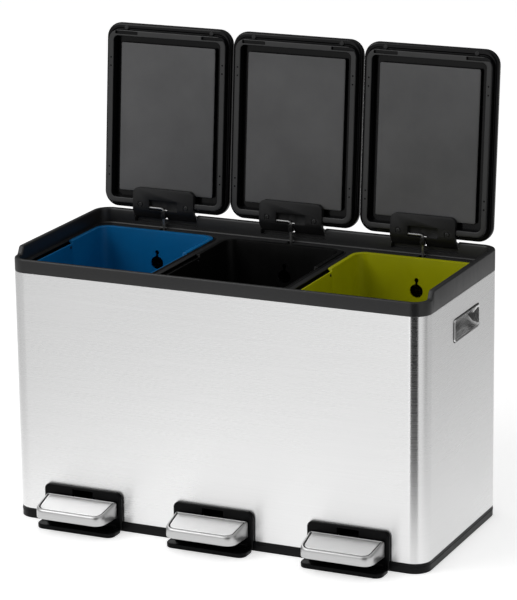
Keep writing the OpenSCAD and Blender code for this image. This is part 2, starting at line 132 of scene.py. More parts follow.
def outline(x0, x1, y0, y1, r, arc=ARC, ys=()):
    """Points round a rectangle with round corners, and at the given ys on its two long sides."""
    corners = ((x1 - r, y0 + r, -90), (x1 - r, y1 - r, 0), (x0 + r, y1 - r, 90), (x0 + r, y0 + r, 180))
    points = []
    for cx, cy, start in corners:
        for i in range(arc + 1):
            a = math.radians(start + 90 * i / arc)
            points.append((cx + r * math.cos(a), cy + r * math.sin(a)))
        if start == -90:
            points += [(x1, y) for y in ys]
        if start == 90:
            points += [(x0, y) for y in reversed(ys)]
    return points


def rounded_path(points, radius, n=3, closed=False):
    """A path with its corners rounded. radius is one number or one for each point."""
    count = len(points)
    radii = list(radius) if hasattr(radius, "__len__") else [radius] * count
    path = []
    for i, p in enumerate(points):
        p = Vector(p)
        if not closed and i in (0, count - 1) or radii[i] <= 0:
            path.append(p)
            continue
        a = Vector(points[i - 1]) - p
        b = Vector(points[(i + 1) % count]) - p
        reach_a = min(radii[i], a.length * 0.48)
        reach_b = min(radii[i], b.length * 0.48)
        start = p + a.normalized() * reach_a
        end = p + b.normalized() * reach_b
        for k in range(n + 1):
            t = k / n
            path.append((1 - t) ** 2 * start + 2 * t * (1 - t) * p + t * t * end)
    return path


def loft(name, loops, ring=False, cap_first=True, cap_last=True):
    """Skins loops that have the same number of points. ring joins the last loop to the first."""
    bm = bmesh.new()
    rows = [[bm.verts.new(p) for p in loop] for loop in loops]
    pairs = list(zip(rows, rows[1:]))
    if ring:
        pairs.append((rows[-1], rows[0]))
    for a, b in pairs:
        for i in range(len(a)):
            j = (i + 1) % len(a)
            bm.faces.new((a[i], a[j], b[j], b[i]))
    if cap_first and not ring:
        bm.faces.new(rows[0])
    if cap_last and not ring:
        bm.faces.new(rows[-1])
    return from_bmesh(name, bm)


def turned(name, rect, profile, ring=False, caps=(True, True), arc=ARC, r_min=0.3 * MM):
    """Carries a profile of (inset, height) round a rectangle with round corners."""
    x0, x1, y0, y1, r = rect
    loops = []
    for inset, z in profile:
        loop = outline(x0 + inset, x1 - inset, y0 + inset, y1 - inset, max(r - inset, r_min), arc)
        loops.append([(x, y, z) for x, y in loop])
    return loft(name, loops, ring, *caps)


def prism(name, points, z0, z1):
    """An upright prism on an outline of (x, y) points."""
    return loft(name, [[(x, y, z0) for x, y in points], [(x, y, z1) for x, y in points]])


def block(name, low, high):
    points = [(low[0], low[1]), (high[0], low[1]), (high[0], high[1]), (low[0], high[1])]
    return prism(name, points, low[2], high[2])


def rod_mesh(name, path, r, sides=12, closed=False):
    """A round bar along a path of points."""
    path = [Vector(p) for p in path]
    count = len(path)
    loops = []
    normal = None
    for i, p in enumerate(path):
        before = path[i - 1] if i or closed else p
        after = path[(i + 1) % count] if i < count - 1 or closed else p
        along = (after - before).normalized()
        if normal is None:
            helper = Vector((0, 0, 1)) if abs(along.z) < 0.9 else Vector((1, 0, 0))
            normal = along.cross(helper).normalized()
        normal = (normal - along * normal.dot(along)).normalized()
        side = along.cross(normal)
        loops.append([p + r * (math.cos(a) * normal + math.sin(a) * side)
                      for a in (2 * math.pi * k / sides for k in range(sides))])
    return loft(name, loops, closed, not closed, not closed)


def disc(name, centre, r, h, edge=0.3 * MM, sides=32):
    """A short round post standing on centre, its top edge rounded."""
    profile = [(r, 0), (r, h - edge), (r - edge * 0.3, h - edge * 0.3), (r - edge, h)]
    loops = []
    for radius, z in profile:
        loops.append([(centre[0] + radius * math.cos(a), centre[1] + radius * math.sin(a), centre[2] + z)
                      for a in (2 * math.pi * k / sides for k in range(sides))])
    return loft(name, loops)


def apply_modifiers(obj):
    deps = bpy.context.evaluated_depsgraph_get()
    mesh = bpy.data.meshes.new_from_object(obj.evaluated_get(deps))
    obj.modifiers.clear()
    obj.data = mesh
    return obj


def boolean(obj, others, operation="DIFFERENCE"):
    """Cuts, joins or keeps the shared part of solids. The others are used up."""
    for other in others:
        modifier = obj.modifiers.new("boolean", "BOOLEAN")
        modifier.operation = operation
        modifier.solver = "EXACT"
        modifier.object = other
    apply_modifiers(obj)
    for other in others:
        bpy.data.objects.remove(other)
    return obj


def bevel(obj, width, segments=2, angle=40):
    modifier = obj.modifiers.new("bevel", "BEVEL")
    modifier.width = width
    modifier.segments = segments
    modifier.limit_method = "ANGLE"
    modifier.angle_limit = math.radians(angle)
    modifier.harden_normals = False
    return apply_modifiers(obj)


def join(name, objects):
    """One object out of several."""
    bm = bmesh.new()
    for obj in objects:
        mesh = obj.data.copy()
        mesh.transform(obj.matrix_world)
        bm.from_mesh(mesh)
        bpy.data.objects.remove(obj)
    mesh = bpy.data.meshes.new(name)
    bm.to_mesh(mesh)
    bm.free()
    return link(name, mesh)


def moved(obj, matrix):
    obj.data.transform(matrix)
    return obj


def copy_of(obj, name, matrix):
    """The same mesh again, carried by a matrix."""
    twin = link(name, obj.data.copy())
    twin.data.transform(matrix)
    return twin


def place(obj, body, material, slot, *nodes, sharp=35):
    """Gives a piece its material and its body, and hides the CAD nodes that it stands for."""
    obj.data.materials.clear()
    obj.data.materials.append(material)
    obj.data.polygons.foreach_set("use_smooth", [True] * len(obj.data.polygons))
    obj.data.set_sharp_from_angle(angle=math.radians(sharp))
    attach(obj, body)
    if nodes:
        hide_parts(*nodes)
    return obj


# ---- Materials ----

def new_material(name):
    material = bpy.data.materials.new(name)
    material.use_nodes = True
    nodes = material.node_tree.nodes
    return material, nodes, material.node_tree.links, nodes["Principled BSDF"]


def mapped_noise(nodes, links, scale, stretch=(1, 1, 1), detail=3.0, roughness=0.6):
    """Noise in the row frame, stretched along the axes."""
    place_node = nodes.new("ShaderNodeTexCoord")
    mapping = nodes.new("ShaderNodeMapping")
    mapping.inputs["Scale"].default_value = stretch
    noise = nodes.new("ShaderNodeTexNoise")
    noise.inputs["Scale"].default_value = scale
    noise.inputs["Detail"].default_value = detail
    noise.inputs["Roughness"].default_value = roughness
    links.new(place_node.outputs["Object"], mapping.inputs["Vector"])
    links.new(mapping.outputs["Vector"], noise.inputs["Vector"])
    return noise.outputs["Fac"]


def spread(nodes, links, source, low, high, start=0.3, end=0.7):
    """Maps a noise value to a range."""
    node = nodes.new("ShaderNodeMapRange")
    node.inputs["From Min"].default_value = start
    node.inputs["From Max"].default_value = end
    node.inputs["To Min"].default_value = low
    node.inputs["To Max"].default_value = high
    links.new(source, node.inputs["Value"])
    return node.outputs["Result"]


def tinted(nodes, links, source, dark, light, start=0.3, end=0.7):
    """A colour between two, by a noise value."""
    node = nodes.new("ShaderNodeMix")
    node.data_type = "RGBA"
    node.inputs["A"].default_value = (*dark, 1)
    node.inputs["B"].default_value = (*light, 1)
    links.new(spread(nodes, links, source, 0, 1, start, end), node.inputs["Factor"])
    return node.outputs["Result"]


def bumped(nodes, links, shader, sources):
    """Chains bumps: (height, strength, distance)."""
    normal = None
    for height, strength, distance in sources:
        bump = nodes.new("ShaderNodeBump")
        bump.inputs["Strength"].default_value = strength
        bump.inputs["Distance"].default_value = distance
        links.new(height, bump.inputs["Height"])
        if normal is not None:
            links.new(normal, bump.inputs["Normal"])
        normal = bump.outputs["Normal"]
    links.new(normal, shader.inputs["Normal"])


def added(nodes, links, a, b):
    node = nodes.new("ShaderNodeMath")
    node.operation = "ADD"
    links.new(a, node.inputs[0])
    links.new(b, node.inputs[1])
    return node.outputs["Value"]


def brushed_steel(name, light=0.85, grain=(4, 4, 2400), rough=0.32, bump=0.06, aniso=0.0, upright=False):
    """Satin steel with fine brush lines along the axes where grain is small.

    upright spreads highlights up and down, as lines brushed round a wall do.
    """
    material, nodes, links, shader = new_material(name)
    lines = mapped_noise(nodes, links, 1.0, grain, 3.0, 0.6)
    cloud = mapped_noise(nodes, links, 4.0, detail=2.0)
    dark = (light * 0.97,) * 3
    pale = (min(light * 1.015, 1),) * 3
    links.new(tinted(nodes, links, lines, dark, pale), shader.inputs["Base Color"])
    roughness = added(nodes, links, spread(nodes, links, lines, rough - 0.015, rough + 0.015),
                      spread(nodes, links, cloud, -0.015, 0.015))
    links.new(roughness, shader.inputs["Roughness"])
    shader.inputs["Metallic"].default_value = 1.0
    shader.inputs["Anisotropic"].default_value = aniso
    if upright:
        tangent = nodes.new("ShaderNodeTangent")
        tangent.direction_type = "RADIAL"
        tangent.axis = "Z"
        shader.inputs["Anisotropic Rotation"].default_value = 0.25
        links.new(tangent.outputs["Tangent"], shader.inputs["Tangent"])
    bumped(nodes, links, shader, [(lines, bump, 0.03 * MM)])
    return material


def darker_inside(material, x_dark, x_bright, dark):
    """Dims a metal towards the cabinet's middle, where little light gets into a deep pressing."""
    nodes = material.node_tree.nodes
    links = material.node_tree.links
    shader = nodes["Principled BSDF"]
    colour = shader.inputs["Base Color"].links[0].from_socket
    place_node = nodes.new("ShaderNodeTexCoord")
    parts = nodes.new("ShaderNodeSeparateXYZ")
    links.new(place_node.outputs["Object"], parts.inputs["Vector"])
    distance = nodes.new("ShaderNodeMath")
    distance.operation = "ABSOLUTE"
    links.new(parts.outputs["X"], distance.inputs[0])
    dimmed = nodes.new("ShaderNodeMix")
    dimmed.data_type = "RGBA"
    dimmed.inputs["A"].default_value = (dark, dark, dark, 1)
    links.new(colour, dimmed.inputs["B"])
    nearness = spread(nodes, links, distance.outputs["Value"], 0, 1, x_dark, x_bright)
    links.new(nearness, dimmed.inputs["Factor"])
    links.new(dimmed.outputs["Result"], shader.inputs["Base Color"])


def plastic(name, colour, rough=(0.35, 0.5), grain=1400, bump=0.1, worn=1.25, specular=0.5):
    """Moulded plastic: fine grain, slow mottling and slightly uneven gloss."""
    material, nodes, links, shader = new_material(name)
    fine = mapped_noise(nodes, links, grain, detail=2.0)
    slow = mapped_noise(nodes, links, 9.0, detail=4.0)
    scuff = mapped_noise(nodes, links, 60.0, (1, 1, 0.25), 5.0, 0.7)
    light = tuple(min(c * worn, 1) for c in colour)
    dark = tuple(c * 0.88 for c in colour)
    links.new(tinted(nodes, links, slow, dark, light), shader.inputs["Base Color"])
    roughness = added(nodes, links, spread(nodes, links, fine, rough[0], rough[1]),
                      spread(nodes, links, scuff, -0.04, 0.05))
    links.new(roughness, shader.inputs["Roughness"])
    shader.inputs["Specular IOR Level"].default_value = specular
    bumped(nodes, links, shader, [(slow, 0.05, 0.4 * MM), (fine, bump, 0.04 * MM)])
    return material


def painted(name, colour, rough=(0.4, 0.55)):
    """Powder coat with a slight orange peel."""
    material, nodes, links, shader = new_material(name)
    peel = mapped_noise(nodes, links, 700, detail=2.0)
    slow = mapped_noise(nodes, links, 14, detail=3.0)
    dark = tuple(c * 0.85 for c in colour)
    light = tuple(c * 1.2 for c in colour)
    links.new(tinted(nodes, links, slow, dark, light), shader.inputs["Base Color"])
    links.new(spread(nodes, links, peel, *rough), shader.inputs["Roughness"])
    bumped(nodes, links, shader, [(peel, 0.15, 0.05 * MM)])
    return material


STEEL_WRAP = brushed_steel("wrap_steel", 0.80, rough=0.28, bump=0.035, aniso=0.85, upright=True)
STEEL_LID = brushed_steel("lid_steel", 0.80, (2400, 4, 4))
STEEL_PEDAL = brushed_steel("pedal_steel", 0.70, (6, 1500, 1500), 0.42, 0.25)
# Darker copy of the pedal steel for the skirt and bevel: painted shade, besides their polished finish.
STEEL_PEDAL_RIM_PAINTED_SHADE = brushed_steel("pedal_rim_steel", 0.52, (30, 900, 900), 0.32, 0.04)
STEEL_GRIP = brushed_steel("grip_steel", 0.72, (2000, 5, 2000), 0.28)
darker_inside(STEEL_GRIP, 0.294, 0.306, 0.4)
STEEL_FIXING = brushed_steel("fixing_steel", 0.6, (10, 1200, 1200), 0.35)
STEEL_WIRE = brushed_steel("wire_steel", 0.32, (1200, 1200, 20), 0.4)
PLASTIC_RIM = plastic("rim_black", (0.010, 0.010, 0.0105), (0.34, 0.46), 1500, 0.14)
PLASTIC_BASE = plastic("base_black", (0.006, 0.006, 0.0065), (0.3, 0.4), specular=0.1)
PLASTIC_SURROUND = plastic("surround_black", (0.003, 0.003, 0.0033), (0.18, 0.26), specular=0.06)
PLASTIC_SHELF = plastic("shelf_grey", (0.09, 0.09, 0.092), (0.5, 0.65))
PLASTIC_LID = plastic("lid_black", (0.004, 0.004, 0.0045), (0.12, 0.2), 1500, 0.05, specular=0.16)
# Lighter than lid_black: a painted sheen standing in for the rib's reflection, besides its satin roughness.
PLASTIC_RIB_PAINTED_SHEEN = plastic("lid_rib_black", (0.02, 0.02, 0.0205), (0.3, 0.4), 1500, 0.08)
PLASTIC_LINER = plastic("lid_liner", (0.088, 0.088, 0.090), (0.5, 0.62), 1700, 0.16)
PLASTIC_BRACKET = plastic("bracket_black", (0.010, 0.010, 0.0105), (0.38, 0.5), 1500, 0.14, specular=0.3)
PLASTIC_CLIP = plastic("clip_black", (0.008, 0.008, 0.008), (0.3, 0.45), specular=0.3)
RUBBER = plastic("rubber", (0.025, 0.025, 0.026), (0.7, 0.85), 900, 0.2)
PAINT_LEVER = painted("lever_black", (0.03, 0.03, 0.031))
PAINT_SCREW = painted("screw_black", (0.012, 0.012, 0.0125), (0.3, 0.45))
WIRE_BLACK = painted("wire_black", (0.010, 0.010, 0.0105), (0.3, 0.45))
BUCKETS = {
    "left": plastic("bucket_blue", (0.0008, 0.125, 0.33), (0.3, 0.42), 1300, 0.08, 1.08, 0.22),
    "middle": plastic("bucket_black", (0.002, 0.002, 0.002), (0.3, 0.42), 1300, 0.08, 1.1, 0.2),
    "right": plastic("bucket_lime", (0.38, 0.39, 0.0008), (0.3, 0.42), 1300, 0.08, 1.08, 0.22),
}
BUCKET_SLOTS = {"left": "bucket_blue", "middle": "bucket_black", "right": "bucket_lime"}


# ---- Cabinet ----

GRIPS = {s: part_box(f"grip_cup_{s}") for s in ("left", "right")}


def grip_cutter(side):
    """A block with round corners through a side wall, where a grip is let in."""
    low, high = GRIPS[side]
    cutter = prism("cutter", outline(low.y, high.y, low.z, high.z, 6 * MM), low.x - 5 * MM, high.x + 5 * MM)
    return moved(cutter, Matrix(((0, 0, 1, 0), (1, 0, 0, 0), (0, 1, 0, 0), (0, 0, 0, 1))))


def make_wrap():
    """Brushed sheet folded round the cabinet, its edges turned in a little."""
    z0 = WRAP[0].z
    z1 = WRAP[1].z
    rect = (-HALF_W, HALF_W, -HALF_D, HALF_D, CORNER_R)
    t = 0.8 * MM
    profile = [(1.2 * MM, z0), (0.3 * MM, z0 + 0.2 * MM), (0, z0 + 0.9 * MM), (0, z1 - 1.0 * MM),
               (0.25 * MM, z1 - 0.3 * MM), (0.9 * MM, z1), (2.4 * MM, z1), (2.4 * MM, z1 - 1 * MM),
               (t, z1 - 2 * MM), (t, z0 + 2 * MM), (1.2 * MM, z0 + 1 * MM)]
    wrap = turned("steel_wrap", rect, profile, ring=True, arc=20)
    cutters = [grip_cutter(s) for s in GRIPS]
    for s in SIDES:
        x = BAY_X[s]
        cutters.append(block("cutter", (x - 16 * MM, -HALF_D - 5 * MM, z0 - 5 * MM),
                             (x + 16 * MM, -HALF_D + 5 * MM, SLOT_TOP)))
    boolean(wrap, cutters)
    place(wrap, "cabinet", STEEL_WRAP, "wrap_steel", "steel_shell")
    # Without this, the big front face shades unevenly where the pedal slots cut it.
    flat_faces_first = wrap.modifiers.new("flat_faces_first", "WEIGHTED_NORMAL")
    flat_faces_first.keep_sharp = True
    flat_faces_first.weight = 100

    low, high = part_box("rear_sheet")
    lap = 4 * MM
    sheet = block("sheet", (low.x - lap, high.y - 0.1 * MM, z0 + 1 * MM),
                  (high.x + lap, high.y + 0.6 * MM, z1 - 1 * MM))
    bevel(sheet, 0.25 * MM)
    spots = []
    rows = 9
    from_edge = 22 * MM
    for i in range(rows):
        z = z0 + from_edge + i * (z1 - z0 - 2 * from_edge) / (rows - 1)
        for x in (low.x + 6 * MM, high.x - 6 * MM):
            spot = disc("spot", (0, 0, 0), 2.6 * MM, 0.35 * MM, 0.3 * MM, 20)
            facing_back = Matrix.Rotation(-math.pi / 2, 4, "X")
            spots.append(moved(spot, Matrix.Translation((x, high.y + 0.55 * MM, z)) @ facing_back))
    sheet = join("rear_sheet_with_spot_welds", [sheet] + spots)
    place(sheet, "cabinet", STEEL_WRAP, "wrap_steel", "rear_sheet")


FRONT_RIM_Z = 377 * MM
DECK_Z = 366 * MM
NOTCH_Z = 372 * MM
SIDE_WALL = 8 * MM
FRONT_WALL = 6 * MM
REAR_WALL = 9 * MM
STEP_YS = [(-115.8 + 1.1 * k) * MM for k in range(9)]


def smooth_step(v, start, end):
    t = min(max((v - start) / (end - start), 0), 1)
    return t * t * (3 - 2 * t)


def rim_top(y):
    """Height of the rim: low in front, with a soft step up to the side walls."""
    return FRONT_RIM_Z + (RIM[1].z - FRONT_RIM_Z) * smooth_step(y, STEP_YS[0], STEP_YS[-1])


def mouth_rect(side):
    """A bay's mouth in the deck, a little wider than its bucket."""
    low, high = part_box(f"bucket_{side}")
    x = BAY_X[side]
    half = (high.x - low.x) / 2 + 1 * MM
    return x - half, x + half, -127 * MM, high.y + 2.5 * MM, 18 * MM


def make_rim():
    """Moulded rim: walls with a rounded top, a deck with three beaded mouths, and hinge notches."""
    z0 = WRAP[1].z
    r = CORNER_R
    inner = (-HALF_W + SIDE_WALL, HALF_W - SIDE_WALL, -HALF_D + FRONT_WALL, HALF_D - REAR_WALL)
    outer = (-HALF_W, HALF_W, -HALF_D, HALF_D)

    def loop(t, z_of):
        """A loop t of the way from the outer to the inner face of the walls."""
        edges = [outer[k] + (inner[k] - outer[k]) * t for k in range(4)]
        points = outline(*edges, r - SIDE_WALL * t, 12, STEP_YS)
        return [(x, y, z_of(y)) for x, y in points]

    walls = [
        loop(0.16, lambda y: z0), loop(0.03, lambda y: z0 + 0.3 * MM), loop(0, lambda y: z0 + 1.2 * MM),
        loop(0, lambda y: rim_top(y) - 2.6 * MM), loop(0.05, lambda y: rim_top(y) - 1.1 * MM),
        loop(0.16, lambda y: rim_top(y) - 0.25 * MM), loop(0.30, rim_top), loop(0.70, rim_top),
        loop(0.86, lambda y: rim_top(y) - 0.25 * MM), loop(0.95, lambda y: rim_top(y) - 1.1 * MM),
        loop(1, lambda y: rim_top(y) - 2.6 * MM), loop(1, lambda y: DECK_Z + 1.5 * MM),
        loop(1.12, lambda y: DECK_Z + 0.2 * MM), loop(1.3, lambda y: DECK_Z),
        loop(1.3, lambda y: DECK_Z - 2.5 * MM), loop(0.9, lambda y: DECK_Z - 2.5 * MM),
        loop(0.8, lambda y: z0),
    ]
    rim = loft("rim_walls", walls, ring=True)
    notches = []
    for s in SIDES:
        x = BAY_X[s]
        notches.append(block("cutter", (x - 50 * MM, HALF_D - REAR_WALL - 0.8 * MM, NOTCH_Z),
                             (x + 50 * MM, HALF_D - 2 * MM, RIM[1].z + 5 * MM)))
        notches.append(block("cutter", (x - 50 * MM, HALF_D - 3 * MM, NOTCH_Z + 5.2 * MM),
                             (x + 50 * MM, HALF_D + 5 * MM, RIM[1].z + 5 * MM)))
    boolean(rim, notches)

    deck = turned("deck", (*inner[:2], inner[2], inner[3], r - SIDE_WALL),
                  [(0.5 * MM, DECK_Z - 3 * MM), (0.5 * MM, DECK_Z)])
    holes = []
    for s in SIDES:
        x0, x1, y0, y1, mr = mouth_rect(s)
        holes.append(prism("cutter", outline(x0, x1, y0, y1, mr), DECK_Z - 9 * MM, DECK_Z + 9 * MM))
        x = BAY_X[s]
        slot = outline(x - 5 * MM, x + 5 * MM, 111 * MM, 130 * MM, 3 * MM)
        holes.append(prism("cutter", slot, DECK_Z - 9 * MM, DECK_Z + 9 * MM))
    boolean(deck, holes)

    beads = []
    for s in SIDES:
        profile = [(0, DECK_Z - 8 * MM), (0, DECK_Z + 0.9 * MM), (-0.4 * MM, DECK_Z + 1.3 * MM),
                   (-1.2 * MM, DECK_Z + 1.3 * MM), (-1.6 * MM, DECK_Z + 0.9 * MM),
                   (-1.6 * MM, DECK_Z - 8 * MM)]
        beads.append(turned("bead", mouth_rect(s), profile, ring=True, arc=10))
    place(join("rim_and_deck", [rim, deck] + beads), "cabinet", PLASTIC_RIM, "frame_black", "top_frame")


def make_base_bead():
    """A fine raised line round the base strip."""
    rect = (-HALF_W, HALF_W, -HALF_D, HALF_D, CORNER_R)
    z = BASE[0].z + 8.5 * MM
    profile = [(0.6 * MM, z), (-0.5 * MM, z + 0.3 * MM), (-0.5 * MM, z + 1.1 * MM), (0.6 * MM, z + 1.4 * MM)]
    bead = turned("base_line", rect, profile, ring=True, arc=20)
    place(bead, "cabinet", PLASTIC_BASE, "base_black")


def make_grip(side):
    """Pressed grip cup: a rolled lip, an upper panel that slants in to a ledge, and a hollow behind it."""
    sign = 1 if side == "right" else -1
    low, high = GRIPS[side]
    # Insets from the front, rear, bottom and top, then how far out of the wall, then corner radius.
    steps = [
        (1.5, 1.5, 1.5, 1.5, -2.0, 5.0), (1.4, 1.4, 1.4, 1.4, 0.2, 5.1), (1.7, 1.7, 1.7, 1.7, 1.4, 5.0),
        (2.4, 2.4, 2.3, 2.3, 1.9, 4.7), (3.2, 3.0, 3.0, 3.0, 1.6, 4.3), (3.8, 3.6, 3.5, 3.5, 0.6, 4.0),
        (4.0, 3.8, 3.7, 3.7, -1.0, 3.9), (4.6, 4.2, 5.6, 12.8, -6.8, 3.4), (4.8, 4.3, 6.1, 13.6, -7.7, 3.2),
        (5.0, 4.4, 6.8, 13.2, -8.8, 3.2), (5.6, 4.8, 9.5, 7.0, -11.5, 3.2), (7.0, 6.2, 14.0, 8.0, -15.0, 2.6),
    ]
    loops = []
    for front, rear, bottom, top, out, r in steps:
        points = outline(low.y + front * MM, high.y - rear * MM,
                         low.z + bottom * MM, high.z - top * MM, r * MM)
        loops.append([(sign * (HALF_W + out * MM), y, z) for y, z in points])
    cup = loft(f"grip_{side}", loops, cap_first=False)
    solid = cup.modifiers.new("thickness", "SOLIDIFY")
    solid.thickness = 0.6 * MM
    solid.offset = -1
    apply_modifiers(cup)
    place(cup, "cabinet", STEEL_GRIP, "grip_steel", f"grip_cup_{side}", sharp=50)


# ---- Lids ----

LID_R = 22 * MM
LIP_W = 6.5 * MM
RIB_W = 9 * MM
FRONT_LIP = 3 * MM
LID_RECT = (LID[0].x, LID[1].x, LID[0].y, LID[1].y, LID_R)
PANEL_RECT = (PANEL[0].x, PANEL[1].x, PANEL[0].y, PANEL[1].y, 3 * MM)
COVER_RECT = (COVER[0].x, COVER[1].x, COVER[0].y, COVER[1].y, LID_R - LIP_W)


def lid_mesh():
    """Frame of a lid: rolled lip, flat rib with two slots in front, and the deep channel inside."""
    top = LID[1].z
    rib = LID[0].z
    lip = -3 * MM
    web = 2 * MM
    web_top = 4.5 * MM
    inner = LIP_W + RIB_W
    corners = [
        (LIP_W + 0.1 * MM, web_top, 0), (LIP_W + 0.1 * MM, top - 0.4 * MM, 0.4 * MM),
        (LIP_W - 1.2 * MM, top, 1 * MM), (0.6 * MM, top - 1.2 * MM, 3 * MM), (0, top - 4 * MM, 2 * MM),
        (0, lip + 2 * MM, 3 * MM), (2 * MM, lip, 2 * MM), (LIP_W - 1.7 * MM, lip - 0.6 * MM, 0.8 * MM),
        (LIP_W - 1.3 * MM, lip + 1.5 * MM, 0.3 * MM), (LIP_W, lip + 1.5 * MM, 0.3 * MM),
        (LIP_W + 0.2 * MM, rib + 0.4 * MM, 1.4 * MM), (LIP_W + 1.6 * MM, rib, 0.8 * MM),
        (inner - 0.6 * MM, rib, 1.2 * MM), (inner, web, 0),
    ]
    profile = rounded_path([(c[0], c[1]) for c in corners], [c[2] for c in corners], 4)
    loops = []
    for inset, z in profile:
        out = FRONT_LIP * (1 - smooth_step(inset, 1 * MM, LIP_W))
        x0, x1, y0, y1, r = LID_RECT
        loop = outline(x0 + inset, x1 - inset, y0 + inset - out, y1 - inset, max(r - inset, 3 * MM), 12)
        loops.append([(x, y, z) for x, y in loop])
    lid = loft("lid", loops)
    front = LID[0].y + LIP_W + RIB_W / 2
    cutters = []
    for sign in (-1, 1):
        x = sign * (LID[1].x - 31 * MM) + 4 * MM
        slot = outline(x - 18 * MM, x + 18 * MM, front - 3.2 * MM, front + 1.6 * MM, 1 * MM)
        cutters.append(prism("cutter", slot, rib - 2 * MM, rib + 3.5 * MM))
        for y_part in (0.2, 0.8):
            y = LID[0].y + y_part * (LID[1].y - LID[0].y)
            x_rib = sign * (LID[1].x - LIP_W - RIB_W / 2)
            for shift in (-6 * MM, 6 * MM):
                cutters.append(moved(disc("cutter", (0, 0, 0), 1.3 * MM, 5 * MM, 0.2 * MM, 16),
                                     Matrix.Translation((x_rib, y + shift, rib - 3 * MM))))
    half = BRACKET[1].x + 0.5 * MM
    cutters.append(block("cutter", (-half, BRACKET[0].y - 0.5 * MM, rib - 5 * MM),
                         (half, LID[1].y + 5 * MM, -5.3 * MM)))
    return boolean(lid, cutters)


def panel_mesh():
    """Flat liner with a softly rounded edge."""
    z0 = PANEL[0].z
    z1 = PANEL[1].z
    corners = [(0, z1), (0, z0 + 1.4 * MM), (0.9 * MM, z0), (6 * MM, z0)]
    profile = rounded_path(corners, [0, 1 * MM, 0.8 * MM, 0], 3)
    return turned("panel", PANEL_RECT, [(p.x, p.y) for p in profile], arc=6, r_min=1.5 * MM)


def cover_mesh():
    """Steel plate let into the frame, crowned by a shallow step."""
    z0 = COVER[0].z
    z1 = COVER[1].z
    corners = [(0, z0), (0, z1 - 1.2 * MM), (0.5 * MM, z1 - 0.5 * MM), (2.2 * MM, z1 - 0.45 * MM),
               (3.2 * MM, z1 - 0.05 * MM), (5 * MM, z1)]
    profile = rounded_path(corners, [0, 0.5 * MM, 0.6 * MM, 0.6 * MM, 0.8 * MM, 0], 3)
    return turned("cover", COVER_RECT, [(p.x, p.y) for p in profile], arc=12, r_min=2 * MM)


def bracket_mesh():
    """Hinge bracket: a plate with round corners and a window, a curved neck and a split knuckle."""
    low, high = BRACKET
    half = high.x
    top = -5.2 * MM
    side_view = rounded_path([
        (low.y, low.z), (-9 * MM, low.z), (2 * MM, -4.2 * MM), (4.3 * MM, 0), (0, 4.3 * MM),
        (-4 * MM, 3 * MM), (-8 * MM, top), (low.y, top)],
        [0, 5 * MM, 3 * MM, 2.5 * MM, 2.5 * MM, 2 * MM, 2 * MM, 0], 4, closed=True)
    body = prism("bracket", [(p.x, p.y) for p in side_view], -half, half)
    moved(body, Matrix(((0, 0, 1, 0), (1, 0, 0, 0), (0, 1, 0, 0), (0, 0, 0, 1))))
    r = 9 * MM
    plan = outline(-half, half, low.y, high.y + 20 * MM, r)
    boolean(body, [prism("plan", plan, low.z - 9 * MM, high.z + 9 * MM)], "INTERSECT")
    floor_z = -6.4 * MM
    cutters = [
        block("cutter", (-22.5 * MM, -25 * MM, -20 * MM), (22.5 * MM, -10 * MM, floor_z)),
        block("cutter", (-3.9 * MM, -25 * MM, -20 * MM), (3.9 * MM, 9 * MM, floor_z)),
        block("cutter", (-3.9 * MM, -11.5 * MM, -20 * MM), (3.9 * MM, 9 * MM, 20 * MM)),
    ]
    boolean(body, cutters)
    bevel(body, 0.9 * MM, 2, 50)
    seats = []
    for sign in (-1, 1):
        seat = disc("seat", (sign * 36.5 * MM, -17 * MM, low.z - 1 * MM), 4.4 * MM, 2.4 * MM, 0.1 * MM, 24)
        seats.append(seat)
    boolean(body, seats)
    return body


def screw_mesh():
    """Two pan heads with cross recesses, sunk in the bracket."""
    heads = []
    for sign in (-1, 1):
        x = sign * 36.5 * MM
        y = -17 * MM
        z = BRACKET[0].z
        head = disc("head", (0, 0, 0), 3.4 * MM, 1.5 * MM, 0.7 * MM, 24)
        for turn in (20, 110):
            bar = block("cutter", (-2.1 * MM, -0.45 * MM, 0.6 * MM), (2.1 * MM, 0.45 * MM, 3 * MM))
            boolean(head, [moved(bar, Matrix.Rotation(math.radians(turn), 4, "Z"))])
        moved(head, Matrix.Translation((x, y, z + 1.5 * MM)) @ Matrix.Rotation(math.pi, 4, "X"))
        heads.append(head)
    return join("screws", heads)


def satin_rib_with_painted_sheen(obj, to_row):
    """Gives the flat faces of a lid's rib a second, satin finish, and a lighter colour that is painted sheen.
    """
    obj.data.materials.append(PLASTIC_RIB_PAINTED_SHEEN)
    to_local = to_row.inverted()
    rib = LID[0].z
    for face in obj.data.polygons:
        if (to_local @ face.center).z < rib + 0.3 * MM:
            face.material_index = 1


def dark_edge(obj, to_row):
    """Gives the upright edge of a lid's liner the black of the frame round it."""
    obj.data.materials.append(PLASTIC_LID)
    to_local = to_row.to_3x3().inverted()
    for face in obj.data.polygons:
        if abs((to_local @ face.normal).z) < 0.6:
            face.material_index = 1


def make_lids():
    frame_mesh = lid_mesh()
    liner = panel_mesh()
    cover = cover_mesh()
    bracket = bracket_mesh()
    screws = screw_mesh()
    for s in SIDES:
        to_row = lid_place(s)
        body = f"lid_{s}"
        lid = copy_of(frame_mesh, f"frame_of_lid_{s}", to_row)
        place(lid, body, PLASTIC_LID, "lid_black", f"lid_frame_{s}")
        satin_rib_with_painted_sheen(lid, to_row)
        panel = copy_of(liner, f"liner_of_lid_{s}", to_row)
        place(panel, body, PLASTIC_LINER, "lid_liner", f"lid_panel_{s}")
        dark_edge(panel, to_row)
        place(copy_of(cover, f"plate_of_lid_{s}", to_row), body, STEEL_LID, "lid_steel", f"lid_cover_{s}")
        place(copy_of(bracket, f"bracket_of_lid_{s}", to_row), body, PLASTIC_BRACKET, "bracket_black",
              f"hinge_bracket_{s}")
        place(copy_of(screws, f"screws_of_lid_{s}", to_row), body, PAINT_SCREW, "screw_black",
              f"bracket_screws_{s}")
    for model in (frame_mesh, liner, cover, bracket, screws):
        bpy.data.objects.remove(model)


# ---- Lift rods ----

